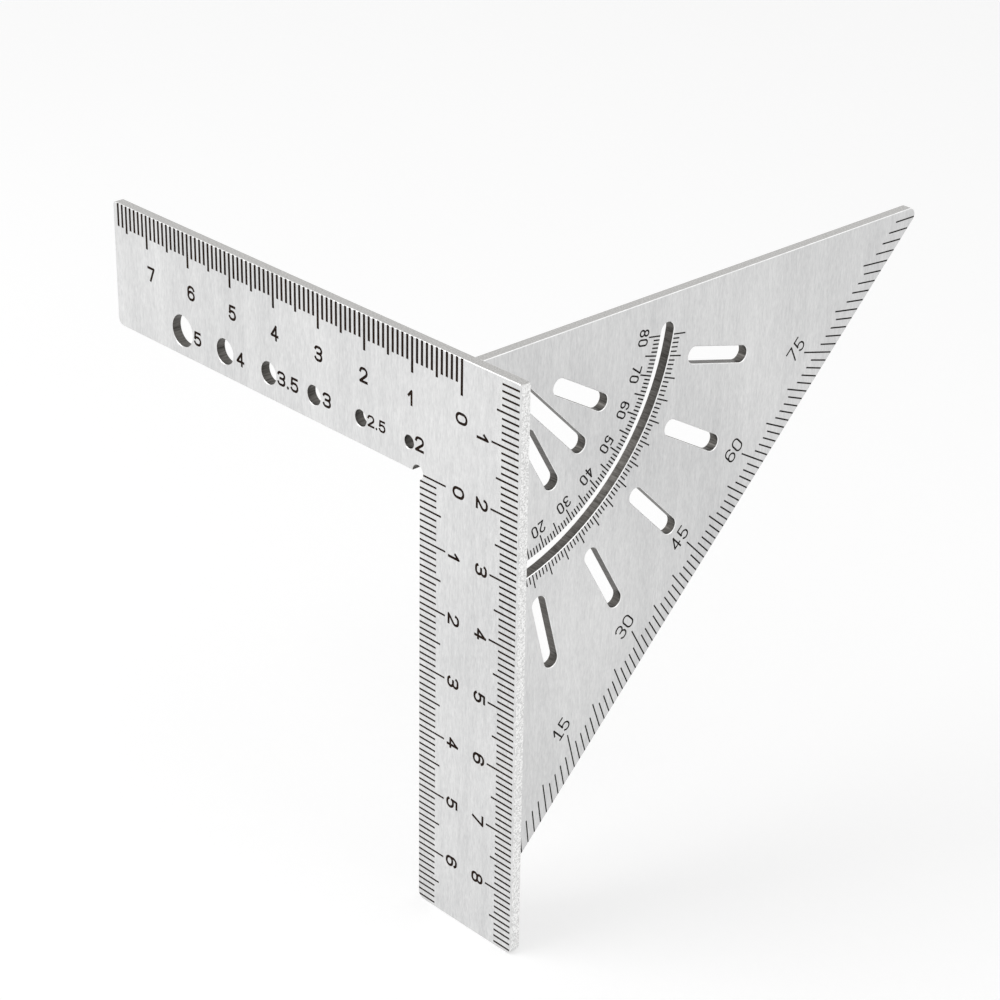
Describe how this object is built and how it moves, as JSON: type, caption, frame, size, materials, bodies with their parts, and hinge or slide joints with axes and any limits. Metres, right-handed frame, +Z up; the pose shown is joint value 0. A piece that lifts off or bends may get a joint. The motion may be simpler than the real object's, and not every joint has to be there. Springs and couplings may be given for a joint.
{
  "type": "mitre square",
  "caption": "L-shaped graduated rule plate with a slotted triangular protractor plate welded square to its back, for marking angles and lengths on the corner of a workpiece.",
  "frame": {"origin": "the corner that is laid on the work: where the rule's back face, the protractor's work face and the plane of the two top edges meet", "axes": "+X right along the rule, past the graduated side of the protractor; +Y away from the rule along the protractor; +Z up"},
  "size_m": [0.0897, 0.0903, 0.0897],
  "materials": {
    "rule_steel": "fine vertical brush grain, blasted cut edges",
    "protractor_steel": "fine vertical brush grain, bright bevels on the slots",
    "weld_steel": "as welded, wire brushed",
    "rule_mark": "matt black colour in the engraved marks",
    "protractor_mark": "matt black colour in the engraved marks"
  },
  "bodies": {
    "root": {"rule_plate": "rule_steel", "protractor_plate": "protractor_steel", "weld_bead_top": "weld_steel", "weld_bead_upper": "weld_steel", "weld_bead_lower": "weld_steel", "weld_bead_bottom": "weld_steel", "top_scale_ticks": "rule_mark", "top_scale_figures": "rule_mark", "side_scale_ticks": "rule_mark", "side_scale_figures": "rule_mark", "inner_scale_ticks": "rule_mark", "inner_scale_figures": "rule_mark", "gauge_hole_figures": "rule_mark", "arc_scale_inner_ticks": "protractor_mark", "arc_scale_outer_ticks": "protractor_mark", "arc_scale_figures": "protractor_mark", "edge_scale_ticks": "protractor_mark", "edge_scale_figures": "protractor_mark"}
  },
  "joints": []
}
